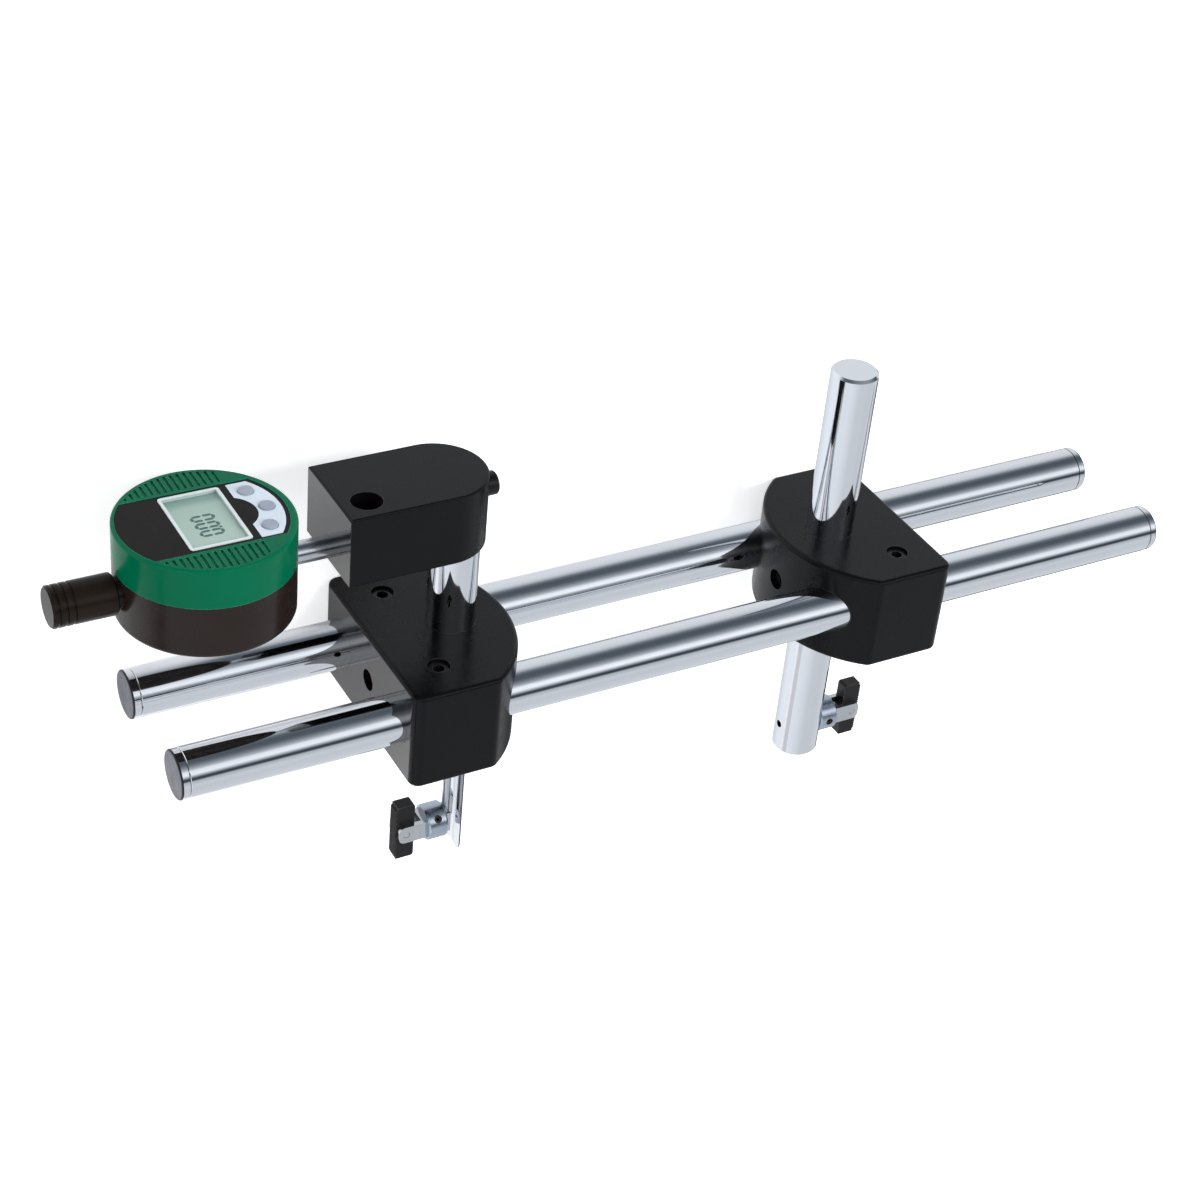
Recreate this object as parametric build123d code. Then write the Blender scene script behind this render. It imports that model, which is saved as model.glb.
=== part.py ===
from build123d import *
from math import cos, pi, radians, sin, sqrt, tan
import os

# Internal thread gauge with a digital indicator.
# Two chromed rails carry two D-shaped blocks. Each block clamps an upright post,
# and each post ends in a rocking shoe that sits in the thread of a bored workpiece.
# The left post is a tube. A lever inside it carries the left shoe at its foot
# and pushes the spindle of the indicator at its top.
#
# Working frame, in millimetres: X runs along the rails to the right, Z runs up the posts,
# and the viewer looks along +Y. The axis of the left post crosses the plane of the
# rail axes at the origin. At the end the gauge is laid on the back faces of its blocks.

# Fits, as radial or face clearances
RUNNING_FIT = 0.05
SCREW_FIT = 0.03
FRAME_FIT = 0.10
CONTACT_GAP = 0.10

# Rails
RAIL_DIA = 18.0
RAIL_WALL = 2.5
RAIL_LENGTH = 405.0
RAIL_SPACING = 47.0
RAIL_LEFT_OVERHANG = 109.0
RAIL_CHAMFER = 0.5
PLUG_DISC = 3.0
PLUG_DISC_DIA = 17.8
PLUG_SHANK = 10.0
PLUG_EDGE = 0.8

# Blocks, measured from the axis of the post that each one holds
BLOCK_WIDTH = 78.0
BLOCK_FLAT = 31.0
BLOCK_APEX = 21.5
BLOCK_SHOULDER = 1.0
BLOCK_ABOVE = 18.5
BLOCK_BELOW = 20.5
BLOCK_CORNER = 4.0
BLOCK_EDGE = 1.6
POST_SPACING = 160.2

# Set screws in the blocks
LOCK_DIA = 8.0
LOCK_KEY = 4.0
LOCK_SOCKET = 3.5
RAIL_LOCK_OFFSET = 15.5
RAIL_LOCK_RECESS = 1.2
POST_LOCK_RECESS = 2.5

# Posts
POST_DIA = 18.0
POST_TOP = 88.0
POST_BOTTOM = 86.5
POST_CHAMFER = 1.0
TUBE_WALL = 2.5
TUBE_CUT_X = 6.0
TUBE_CUT_BELOW_BLOCK = 4.0
SPIGOT_DIA = 15.0
SPIGOT_BORE = 9.0
SPIGOT_TOP_GAP = 0.5
SPIGOT_BORE_START = 48.0

# Shoe unit, measured outwards from its seat
SHOE_LEVEL = 74.0
SHOE_SEAT_ON_POST = 7.0
COLLAR_DIA = 13.8
COLLAR_LENGTH = 7.8
COLLAR_CHAMFER = 0.6
SHANK_DIA = 4.0
SHANK_DEPTH = 2.6
FORK_WIDTH = 9.0
FORK_HEIGHT = 7.4
FORK_BASE = 1.9
FORK_END = 3.0
FORK_ROUND = 2.4
PIN_REACH = 16.2
PIN_DIA = 2.5
SHOE_THICKNESS = 7.8
SHOE_WIDTH = 5.0
SHOE_HEIGHT = 24.5
THREAD_PITCH = 1.0
THREAD_ANGLE = 60.0
THREAD_CREST = 0.2
SHOE_CORNER = 1.0
FORK_SIDE_GAP = 0.10
COLLAR_SCREW_DIA = 3.0
COLLAR_SCREW_KEY = 1.5
COLLAR_SCREW_SOCKET = 1.5
LEFT_COLLAR_TURN = 40.0
FORK_SCREW_LENGTH = 6.0

# Lever inside the left post
LEVER_DIA = 3.0
LEVER_X = 2.9
LEVER_HUB_DIA = 8.4
LEVER_HUB_WIDTH = 8.0
LEVER_ABOVE_SPINDLE = 5.0
LEVER_BOSS_WIDTH = 8.0
LEVER_BOSS_HEIGHT = 9.0
LEVER_BOSS_THICKNESS = 2.0
PIVOT_DIA = 3.0
WINDOW_DIA = 7.0

# Head block on the left post
HEAD_WIDTH = 36.0
HEAD_LEFT = 47.6
HEAD_ROUND_CENTRE = 8.4
HEAD_BOTTOM = 55.5
HEAD_TOP = 82.4
HEAD_ROOF = 4.4
HEAD_EDGE = 0.8
STEM_LEVEL = 61.3
COTTER_X = 38.0
COTTER_Y = 8.6
COTTER_DIA = 11.0
COTTER_FLOOR = 3.0
COTTER_HEIGHT = 9.0
CAP_SCREW_DIA = 5.0
CAP_SCREW_HEAD = 8.5
CAP_SCREW_KEY = 4.0
CAP_SCREW_SOCKET = 2.5
HEAD_LOCK_LEVEL = 72.7
HEAD_LOCK_SEAT = 0.5

# Indicator case
CASE_X = 91.2
CASE_DIA = 60.4
CASE_BOTTOM = 48.4
CASE_SPLIT = 68.2
CASE_WALL = 2.5
CASE_FLOOR = 3.2
CASE_EDGE = 2.0
CASE_SPIGOT = 2.0
COVER_DIA = 50.0
COVER_THICKNESS = 1.6
COVER_SCREW_INSET = 3.5
COVER_SCREW_HEAD = 3.8
COVER_SCREW_DIA = 2.0
COVER_SCREW_LENGTH = 3.0
CROSS_LENGTH = 2.0
CROSS_WIDTH = 0.5
CROSS_DEPTH = 0.6
BOARD_GAP = 0.5
BOARD_THICKNESS = 1.2
BOARD_LIFT = 4.0
BOARD_BOSS_DIA = 4.0
BOARD_BOSS_INSET = 3.0
BATTERY_DIA = 20.0
BATTERY_THICKNESS = 3.2
BATTERY_OFFSET = 9.0

# Stem, spindle and dust cap
STEM_DIA = 8.0
STEM_INSIDE = 4.0
STEM_POST_GAP = 1.0
SPINDLE_DIA = 4.2
SPINDLE_BEHIND = 18.0
SPINDLE_COLLAR_DIA = 8.0
SPINDLE_COLLAR = 1.2
SPINDLE_COLLAR_X = 17.0
SPRING_WIRE = 0.6
SPRING_COILS = 5
SPINDLE_TRAVEL = 2.2
SCALE_LENGTH = 30.0
SCALE_WIDTH = 6.0
SCALE_THICKNESS = 1.2
SCALE_FLAT = 0.5
TIP_DIA = 3.0
TIP_SPIGOT = 3.0
TIP_SPIGOT_DIA = 2.0
NIPPLE_DIA = 8.9
NIPPLE_LENGTH = 5.0
BOSS_DIA = 11.0
BOSS_REACH = 1.1
CAP_DIA = 14.4
CAP_LENGTH = 22.0
CAP_ROOF = 1.5
CAP_GROOVE = 1.0
CAP_GROOVE_DEPTH = 0.5
CAP_GROOVE_PITCH = 2.6
CAP_GROOVES = 3

# Turning front of the indicator
FRONT_TOP = 82.8
FRONT_WALL = 2.2
FRONT_ROOF = 3.0
FRONT_EDGE = 1.2
FACE_POCKET = 1.2
FACE_SUNK = 0.2
FACE_RADIUS = 28.2
FACE_SHIFT = -0.7
FACE_HALF_HEIGHT = 17.4
GRIP_FROM_FACE = 1.2
GRIP_RADIUS = 28.4
GRIP_LEFT = -20.0
GRIP_PITCH = 2.3
GRIP_GROOVE = 1.1
GRIP_DEPTH = 0.7
GRIP_COUNT = 15
DISPLAY_ALONG = 32.0
DISPLAY_ACROSS = 21.4
DISPLAY_RIM = 1.2
DISPLAY_PROUD = 0.3
DISPLAY_CORNER = 1.2
GLASS_THICKNESS = 0.8
LCD_FLANGE = 1.2
LCD_LAP = 0.8
PANEL_NOTCH_X = 8.2
PANEL_NOTCH_RADIUS = 9.6
PANEL_OUTER = 26.2
PANEL_START = 13.2
PANEL_MARGIN = 1.0
BUTTON_DIA = 5.4
BUTTON_FIT = 0.15
BUTTON_PROUD = 0.5
BUTTON_FLANGE_DIA = 7.0
BUTTON_FLANGE = 0.8
BUTTON_PLACES = {"left": (18.3, -10.7), "middle": (21.5, 0.0), "right": (18.3, 10.7)}

# Worked out from the values above
HEAD_LOCK_FACE = HEAD_WIDTH / 2 - HEAD_ROUND_CENTRE - HEAD_LOCK_SEAT
RAIL_YS = {"front": -RAIL_SPACING / 2, "back": RAIL_SPACING / 2}
RAIL_LEFT = -RAIL_LEFT_OVERHANG
RAIL_RIGHT = RAIL_LEFT + RAIL_LENGTH
RAIL_BORE = RAIL_DIA - 2 * RAIL_WALL
TUBE_BORE = POST_DIA - 2 * TUBE_WALL
SPIGOT_TOP = HEAD_TOP - HEAD_ROOF - SPIGOT_TOP_GAP
PIVOT_LEVEL = (STEM_LEVEL - SHOE_LEVEL) / 2
LEVER_FACE = LEVER_X - LEVER_DIA / 2
STEM_END = CASE_X - SPIGOT_DIA / 2 - STEM_POST_GAP
CASE_R = CASE_DIA / 2
CASE_FLOOR_TOP = CASE_BOTTOM + CASE_FLOOR
BOARD_LEVEL = STEM_LEVEL + BOARD_LIFT
SPINDLE_BORE = SPINDLE_DIA + 2 * RUNNING_FIT
FRONT_BORE = CASE_DIA - 2 * FRONT_WALL
CASE_BORE = FRONT_BORE - 2 * CASE_WALL
BOARD_DIA = CASE_BORE - 2 * BOARD_GAP
BOARD_BOSS_PCD = BOARD_DIA - 2 * BOARD_BOSS_INSET
COVER_SCREW_PCD = COVER_DIA - 2 * COVER_SCREW_INSET
GRIP_START = FACE_HALF_HEIGHT + GRIP_FROM_FACE
ROOF_UNDERSIDE = FRONT_TOP - FRONT_ROOF
POCKET_LEVEL = FRONT_TOP - FACE_POCKET
FACE_LEVEL = FRONT_TOP - FACE_SUNK
GLASS_LEVEL = FACE_LEVEL + DISPLAY_PROUD - FRAME_FIT - GLASS_THICKNESS

LOW = (Align.CENTER, Align.CENTER, Align.MIN)
HIGH = (Align.CENTER, Align.CENTER, Align.MAX)


# Turned shapes along each axis

def rod_z(dia, low, high, x=0.0, y=0.0):
    return Pos(x, y, low) * Cylinder(dia / 2, high - low, align=LOW)


def rod_x(dia, left, right, y=0.0, z=0.0):
    return Pos(left, y, z) * Rot(0, 90, 0) * Cylinder(dia / 2, right - left, align=LOW)


def rod_y(dia, near, far, x=0.0, z=0.0):
    return Pos(x, near, z) * Rot(-90, 0, 0) * Cylinder(dia / 2, far - near, align=LOW)


def end_edges(solid, axis, last=True):
    return solid.edges().group_by(axis)[-1 if last else 0]


# Fasteners, built with the driven end at the origin and the body running down -Z

def hex_socket(key, depth):
    return extrude(RegularPolygon(key / 2, 6, major_radius=False), -depth)


def set_screw(dia, length, key, socket_depth):
    body = Cylinder(dia / 2, length, align=HIGH)
    body = chamfer(end_edges(body, Axis.Z, last=False), dia * 0.15)
    body = chamfer(end_edges(body, Axis.Z), dia * 0.06)
    return body - hex_socket(key, socket_depth)


def cap_screw(dia, length):
    """Socket screw whose head stands above the origin plane."""
    head = Cylinder(CAP_SCREW_HEAD / 2, CAP_SCREW_DIA, align=LOW)
    head = chamfer(end_edges(head, Axis.Z), 0.4)
    head -= Pos(0, 0, CAP_SCREW_DIA) * hex_socket(CAP_SCREW_KEY, CAP_SCREW_SOCKET)
    shank = Cylinder(dia / 2, length, align=HIGH)
    return head + chamfer(end_edges(shank, Axis.Z, last=False), 0.4)


# Rails and their end plugs

def rail(y):
    tube = rod_x(RAIL_DIA, RAIL_LEFT, RAIL_RIGHT, y)
    for last in (False, True):
        tube = chamfer(end_edges(tube, Axis.X, last), RAIL_CHAMFER)
    return tube - rod_x(RAIL_BORE, RAIL_LEFT, RAIL_RIGHT, y)


def rail_plug(y, at_right):
    """Moulded plug: a disc over the end of the tube and a hollow shank inside it."""
    disc = Cylinder(PLUG_DISC_DIA / 2, PLUG_DISC, align=LOW)
    disc = fillet(end_edges(disc, Axis.Z), PLUG_EDGE)
    shank_dia = RAIL_BORE - 2 * RUNNING_FIT
    shank = Cylinder(shank_dia / 2, PLUG_SHANK, align=HIGH)
    shank -= Cylinder(shank_dia / 2 - RAIL_WALL, PLUG_SHANK, align=HIGH)
    plug = disc + shank
    if at_right:
        return Pos(RAIL_RIGHT, y, 0) * Rot(0, 90, 0) * plug
    return Pos(RAIL_LEFT, y, 0) * Rot(0, -90, 0) * plug


# Blocks: the right one as drawn, the left one mirrored

def block_outline():
    half = BLOCK_WIDTH / 2
    shoulder = -BLOCK_SHOULDER
    sides = Polyline((shoulder, -half), (BLOCK_FLAT, -half), (BLOCK_FLAT, half), (shoulder, half))
    bow = ThreePointArc((shoulder, half), (-BLOCK_APEX, 0), (shoulder, -half))
    return make_face(sides + bow)


def block():
    body = Pos(0, 0, -BLOCK_BELOW) * extrude(block_outline(), BLOCK_BELOW + BLOCK_ABOVE)
    body = fillet(body.edges().filter_by(Axis.Z), BLOCK_CORNER)
    rims = end_edges(body, Axis.Z) + end_edges(body, Axis.Z, last=False)
    body = fillet(rims, BLOCK_EDGE)
    for y in RAIL_YS.values():
        body -= rod_x(RAIL_DIA + 2 * RUNNING_FIT, -BLOCK_APEX, BLOCK_FLAT, y)
        body -= rod_z(LOCK_DIA + 2 * SCREW_FIT, 0, BLOCK_ABOVE, RAIL_LOCK_OFFSET, y)
    body -= rod_z(POST_DIA + 2 * RUNNING_FIT, -BLOCK_BELOW, BLOCK_ABOVE)
    return body - rod_x(LOCK_DIA + 2 * SCREW_FIT, -BLOCK_APEX, BLOCK_FLAT)


def rail_lock_screw(y):
    top = BLOCK_ABOVE - RAIL_LOCK_RECESS
    length = top - RAIL_DIA / 2 - CONTACT_GAP
    return Pos(RAIL_LOCK_OFFSET, y, top) * set_screw(LOCK_DIA, length, LOCK_KEY, LOCK_SOCKET)


def post_lock_screw(face):
    """Screw along X that bears on the post, pointing inwards from a face of the block."""
    start = abs(face) - POST_LOCK_RECESS
    screw = set_screw(LOCK_DIA, start - POST_DIA / 2 - CONTACT_GAP, LOCK_KEY, LOCK_SOCKET)
    turn = 90 if face > 0 else -90
    return Pos(start if face > 0 else -start, 0, 0) * Rot(0, turn, 0) * screw


# Shoe unit, pointing along +X from a seat at the origin

def shoe_collar():
    ring = rod_x(COLLAR_DIA, 0, COLLAR_LENGTH)
    for last in (False, True):
        ring = chamfer(end_edges(ring, Axis.X, last), COLLAR_CHAMFER)
    ring -= rod_x(SHANK_DIA + 2 * SCREW_FIT, 0, COLLAR_LENGTH)
    return ring - rod_y(COLLAR_SCREW_DIA + 2 * SCREW_FIT, -COLLAR_DIA / 2, 0, COLLAR_LENGTH / 2)


def collar_screw():
    length = COLLAR_DIA / 2 - SHANK_DIA / 2 - CONTACT_GAP - COLLAR_CHAMFER
    near = -COLLAR_DIA / 2 + COLLAR_CHAMFER
    screw = set_screw(COLLAR_SCREW_DIA, length, COLLAR_SCREW_KEY, COLLAR_SCREW_SOCKET)
    return Pos(COLLAR_LENGTH / 2, near, 0) * Rot(90, 0, 0) * screw


def shoe_fork():
    """Shank, base and two cheeks that straddle the shoe."""
    length = PIN_REACH + FORK_END - COLLAR_LENGTH
    body = Pos(COLLAR_LENGTH + length / 2, 0, 0) * Box(length, FORK_WIDTH, FORK_HEIGHT)
    tips = end_edges(body, Axis.X).filter_by(Axis.Y)
    body = fillet(tips, FORK_ROUND)
    slot_length = length - FORK_BASE
    slot = Box(slot_length, SHOE_WIDTH + 2 * FORK_SIDE_GAP, FORK_HEIGHT)
    body -= Pos(PIN_REACH + FORK_END - slot_length / 2, 0, 0) * slot
    body -= rod_y(PIN_DIA + 2 * SCREW_FIT, -FORK_WIDTH / 2, FORK_WIDTH / 2, PIN_REACH)
    return body + rod_x(SHANK_DIA, -SHANK_DEPTH, COLLAR_LENGTH)


def shoe_pin():
    pin = rod_y(PIN_DIA, -FORK_WIDTH / 2, FORK_WIDTH / 2, PIN_REACH)
    for last in (False, True):
        pin = chamfer(end_edges(pin, Axis.Y, last), 0.2)
    return pin


def shoe_outline():
    """Side view of the bar: a row of 60 degree thread crests along its outer face."""
    inner = PIN_REACH - SHOE_THICKNESS / 2
    outer = PIN_REACH + SHOE_THICKNESS / 2
    half = SHOE_HEIGHT / 2
    flank = (THREAD_PITCH - THREAD_CREST) / 2
    root = outer - flank / tan(radians(THREAD_ANGLE / 2))
    crests = int((SHOE_HEIGHT - 2 * SHOE_CORNER) // THREAD_PITCH)
    low = -crests * THREAD_PITCH / 2
    points = [(inner, -half), (root, -half), (root, low)]
    for i in range(crests):
        middle = low + (i + 0.5) * THREAD_PITCH
        points.append((outer, middle - THREAD_CREST / 2))
        points.append((outer, middle + THREAD_CREST / 2))
        points.append((root, low + (i + 1) * THREAD_PITCH))
    points.append((root, half))
    points.append((inner, half))
    return make_face(Polyline(points, close=True))


def shoe():
    """Bar that rocks on the pin."""
    body = extrude(Plane.XZ * shoe_outline(), SHOE_WIDTH / 2, both=True)
    back = end_edges(body, Axis.X, last=False).filter_by(Axis.Y)
    body = fillet(back, SHOE_CORNER)
    return body - rod_y(PIN_DIA + 2 * RUNNING_FIT, -SHOE_WIDTH / 2, SHOE_WIDTH / 2, PIN_REACH)


# Posts

def right_post():
    body = rod_z(POST_DIA, -POST_BOTTOM, POST_TOP)
    for last in (False, True):
        body = chamfer(end_edges(body, Axis.Z, last), POST_CHAMFER)
    spot = rod_x(COLLAR_DIA + 2 * FRAME_FIT, SHOE_SEAT_ON_POST, POST_DIA / 2, 0, -SHOE_LEVEL)
    shank = rod_x(SHANK_DIA + 2 * SCREW_FIT, 0, SHOE_SEAT_ON_POST, 0, -SHOE_LEVEL)
    screw = rod_x(COLLAR_SCREW_DIA + 2 * SCREW_FIT, -POST_DIA / 2, 0, 0, -SHOE_LEVEL)
    return body - spot - shank - screw


def fork_screw():
    """Screw from the far side of the right post that bears on the end of the fork's shank."""
    end = SHOE_SEAT_ON_POST - SHANK_DEPTH - CONTACT_GAP
    screw = set_screw(COLLAR_SCREW_DIA, FORK_SCREW_LENGTH, COLLAR_SCREW_KEY, COLLAR_SCREW_SOCKET)
    return Pos(end - FORK_SCREW_LENGTH, 0, -SHOE_LEVEL) * Rot(0, -90, 0) * screw


def left_post():
    """Tube with a spigot for the head, cut away at its foot so that the left shoe can reach out."""
    body = chamfer(end_edges(rod_z(POST_DIA, -POST_BOTTOM, HEAD_BOTTOM), Axis.Z, last=False), POST_CHAMFER)
    body += chamfer(end_edges(rod_z(SPIGOT_DIA, HEAD_BOTTOM, SPIGOT_TOP), Axis.Z), POST_CHAMFER)
    body -= rod_z(TUBE_BORE, -POST_BOTTOM, SPIGOT_BORE_START)
    body -= rod_z(SPIGOT_BORE, SPIGOT_BORE_START, SPIGOT_TOP)
    cut_top = -BLOCK_BELOW - TUBE_CUT_BELOW_BLOCK
    cut_length = POST_BOTTOM + cut_top
    cut_width = POST_DIA / 2 + TUBE_CUT_X
    cut = Box(cut_width, POST_DIA, cut_length, align=(Align.MAX, Align.CENTER, Align.MAX))
    body -= Pos(TUBE_CUT_X, 0, cut_top) * cut
    body -= rod_x(WINDOW_DIA, -POST_DIA / 2, 0, 0, STEM_LEVEL)
    reach = POST_DIA / 2
    return body - rod_y(PIVOT_DIA + 2 * SCREW_FIT, -reach, reach, 0, PIVOT_LEVEL)


def lever():
    """Upper arm on the axis, pivot hub, and a lower arm set back behind the shoe unit."""
    top = STEM_LEVEL + LEVER_ABOVE_SPINDLE
    bottom = -SHOE_LEVEL - LEVER_BOSS_HEIGHT / 2
    body = chamfer(end_edges(rod_z(LEVER_DIA, PIVOT_LEVEL, top), Axis.Z), 0.4)
    body += rod_z(LEVER_DIA, bottom, PIVOT_LEVEL, LEVER_X)
    half = LEVER_HUB_WIDTH / 2
    body += chamfer(rod_y(LEVER_HUB_DIA, -half, half, 0, PIVOT_LEVEL).edges(), 0.5)
    boss = Box(LEVER_BOSS_THICKNESS, LEVER_BOSS_WIDTH, LEVER_BOSS_HEIGHT)
    boss = fillet(boss.edges().filter_by(Axis.X), 1.0)
    body += Pos(LEVER_FACE + LEVER_BOSS_THICKNESS / 2, 0, -SHOE_LEVEL) * boss
    body -= rod_y(PIVOT_DIA + 2 * RUNNING_FIT, -half, half, 0, PIVOT_LEVEL)
    far_side = LEVER_FACE + LEVER_DIA
    return body - rod_x(SHANK_DIA + 2 * SCREW_FIT, LEVER_FACE, far_side, 0, -SHOE_LEVEL)


def lever_pin():
    reach = sqrt(POST_DIA ** 2 - PIVOT_DIA ** 2) / 2
    pin = rod_y(PIVOT_DIA, -reach, reach, 0, PIVOT_LEVEL)
    for last in (False, True):
        pin = chamfer(end_edges(pin, Axis.Y, last), 0.3)
    return pin


# Head block with its two clamps

def head_outline():
    half = HEAD_WIDTH / 2
    round_x = -HEAD_ROUND_CENTRE
    sides = Polyline((round_x, -half), (-HEAD_LEFT, -half), (-HEAD_LEFT, half), (round_x, half))
    nose = ThreePointArc((round_x, half), (round_x + half, 0), (round_x, -half))
    return make_face(sides + nose)


def head_block():
    body = Pos(0, 0, HEAD_BOTTOM) * extrude(head_outline(), HEAD_TOP - HEAD_BOTTOM)
    rims = end_edges(body, Axis.Z) + end_edges(body, Axis.Z, last=False)
    body = fillet(rims, HEAD_EDGE)
    body -= rod_z(SPIGOT_DIA + 2 * SCREW_FIT, HEAD_BOTTOM, HEAD_TOP - HEAD_ROOF)
    body -= rod_x(STEM_DIA + 2 * SCREW_FIT, -HEAD_LEFT, 0, 0, STEM_LEVEL)
    cotter_low = HEAD_BOTTOM + COTTER_FLOOR
    body -= rod_z(COTTER_DIA, cotter_low, HEAD_TOP, -COTTER_X, -COTTER_Y)
    body -= rod_z(CAP_SCREW_DIA, HEAD_BOTTOM, cotter_low, -COTTER_X, -COTTER_Y)
    body -= rod_x(CAP_SCREW_HEAD + 2 * FRAME_FIT, HEAD_LOCK_FACE, HEAD_WIDTH, 0, HEAD_LOCK_LEVEL)
    return body - rod_x(CAP_SCREW_DIA + 2 * SCREW_FIT, 0, HEAD_LOCK_FACE, 0, HEAD_LOCK_LEVEL)


def stem_cotter():
    """Sleeve whose scalloped side is drawn against the indicator's stem."""
    low = HEAD_BOTTOM + COTTER_FLOOR
    sleeve = rod_z(COTTER_DIA - 2 * SCREW_FIT, low, low + COTTER_HEIGHT, -COTTER_X, -COTTER_Y)
    sleeve -= rod_z(CAP_SCREW_DIA + 2 * SCREW_FIT, low, low + COTTER_HEIGHT, -COTTER_X, -COTTER_Y)
    scallop = STEM_DIA + 2 * SCREW_FIT
    return sleeve - rod_x(scallop, -COTTER_X - COTTER_DIA, -COTTER_X + COTTER_DIA, 0, STEM_LEVEL)


def stem_lock_screw():
    seat = HEAD_BOTTOM + COTTER_FLOOR + COTTER_HEIGHT
    screw = cap_screw(CAP_SCREW_DIA - 2 * SCREW_FIT, COTTER_HEIGHT + COTTER_FLOOR)
    return Pos(-COTTER_X, -COTTER_Y, seat) * screw


def head_lock_screw():
    screw = cap_screw(CAP_SCREW_DIA, HEAD_LOCK_FACE - SPIGOT_DIA / 2 - CONTACT_GAP)
    return Pos(HEAD_LOCK_FACE, 0, HEAD_LOCK_LEVEL) * Rot(0, 90, 0) * screw


# Indicator case, drawn about its own upright axis and then moved to its place

def polar(pcd, count, first=45.0):
    step = 2 * pi / count
    start = radians(first)
    return [(pcd / 2 * cos(start + i * step), pcd / 2 * sin(start + i * step)) for i in range(count)]


def indicator_case():
    body = rod_z(CASE_DIA, CASE_BOTTOM, CASE_SPLIT)
    body = fillet(end_edges(body, Axis.Z, last=False), CASE_EDGE)
    body += rod_z(FRONT_BORE - 2 * RUNNING_FIT, CASE_SPLIT, CASE_SPLIT + CASE_SPIGOT)
    body -= rod_z(CASE_BORE, CASE_FLOOR_TOP, CASE_SPLIT + CASE_SPIGOT)
    body += rod_x(BOSS_DIA, -CASE_R - BOSS_REACH, -CASE_BORE / 2, 0, STEM_LEVEL)
    body += rod_x(NIPPLE_DIA, -CASE_R - BOSS_REACH - NIPPLE_LENGTH, -CASE_R, 0, STEM_LEVEL)
    body -= rod_z(COVER_DIA + 2 * FRAME_FIT, CASE_BOTTOM, CASE_BOTTOM + COVER_THICKNESS)
    for x, y in polar(BOARD_BOSS_PCD, 4):
        body += rod_z(BOARD_BOSS_DIA, CASE_FLOOR_TOP, BOARD_LEVEL, x, y)
    for x, y in polar(COVER_SCREW_PCD, 4, 0.0):
        body -= rod_z(COVER_SCREW_DIA + 2 * SCREW_FIT, CASE_BOTTOM, CASE_FLOOR_TOP, x, y)
    body -= rod_x(SPINDLE_BORE, -CASE_DIA, 0, 0, STEM_LEVEL)
    return body - rod_x(STEM_DIA + 2 * SCREW_FIT, 0, CASE_R, 0, STEM_LEVEL)


def back_cover():
    plate = rod_z(COVER_DIA, CASE_BOTTOM, CASE_BOTTOM + COVER_THICKNESS)
    plate = chamfer(end_edges(plate, Axis.Z, last=False), 0.4)
    for x, y in polar(COVER_SCREW_PCD, 4, 0.0):
        plate -= rod_z(COVER_SCREW_DIA + 2 * SCREW_FIT, CASE_BOTTOM, CASE_FLOOR_TOP, x, y)
        head = COVER_SCREW_HEAD / 2 + SCREW_FIT
        plate -= Pos(x, y, CASE_BOTTOM) * Cone(head, COVER_SCREW_DIA / 2, COVER_THICKNESS / 2, align=LOW)
    return plate


def cover_screws():
    screws = []
    for x, y in polar(COVER_SCREW_PCD, 4, 0.0):
        head = Cone(COVER_SCREW_HEAD / 2, COVER_SCREW_DIA / 2, COVER_THICKNESS / 2, align=LOW)
        head += Cylinder(COVER_SCREW_DIA / 2, COVER_SCREW_LENGTH, align=LOW)
        cross = Box(CROSS_LENGTH, CROSS_WIDTH, CROSS_DEPTH, align=LOW)
        cross += Box(CROSS_WIDTH, CROSS_LENGTH, CROSS_DEPTH, align=LOW)
        screws.append(Pos(x, y, CASE_BOTTOM) * (head - cross))
    return Compound(children=[s.solid() for s in screws])


def circuit_board():
    board = rod_z(BOARD_DIA, BOARD_LEVEL, BOARD_LEVEL + BOARD_THICKNESS)
    for x, y in polar(BOARD_BOSS_PCD, 4):
        board -= rod_z(BOARD_BOSS_DIA / 2, BOARD_LEVEL, BOARD_LEVEL + BOARD_THICKNESS, x, y)
    return board


def battery():
    low = CASE_FLOOR_TOP
    cell = rod_z(BATTERY_DIA, low, low + BATTERY_THICKNESS, -BATTERY_OFFSET)
    return fillet(end_edges(cell, Axis.Z), 0.6)


def indicator_stem():
    tube = rod_x(STEM_DIA, CASE_R - STEM_INSIDE, STEM_END, 0, STEM_LEVEL)
    tube = chamfer(end_edges(tube, Axis.X), 0.5)
    return tube - rod_x(SPINDLE_BORE, 0, STEM_END, 0, STEM_LEVEL)


def spindle():
    left = -CASE_R - BOSS_REACH - SPINDLE_BEHIND
    right = STEM_END - TIP_SPIGOT
    rod = rod_x(SPINDLE_DIA, left, right, 0, STEM_LEVEL)
    for last in (False, True):
        rod = chamfer(end_edges(rod, Axis.X, last), 0.3)
    rod += rod_x(SPINDLE_COLLAR_DIA, -SPINDLE_COLLAR_X, -SPINDLE_COLLAR_X + SPINDLE_COLLAR, 0, STEM_LEVEL)
    rod -= rod_x(TIP_SPIGOT_DIA + 2 * SCREW_FIT, right - TIP_SPIGOT, right, 0, STEM_LEVEL)
    flat = Box(SCALE_LENGTH, SPINDLE_DIA, SCALE_FLAT, align=HIGH)
    return rod - Pos(0, 0, STEM_LEVEL + SPINDLE_DIA / 2) * flat


def scale_strip():
    low = STEM_LEVEL + SPINDLE_DIA / 2 - SCALE_FLAT
    return Pos(0, 0, low) * Box(SCALE_LENGTH, SCALE_WIDTH, SCALE_THICKNESS, align=LOW)


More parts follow.
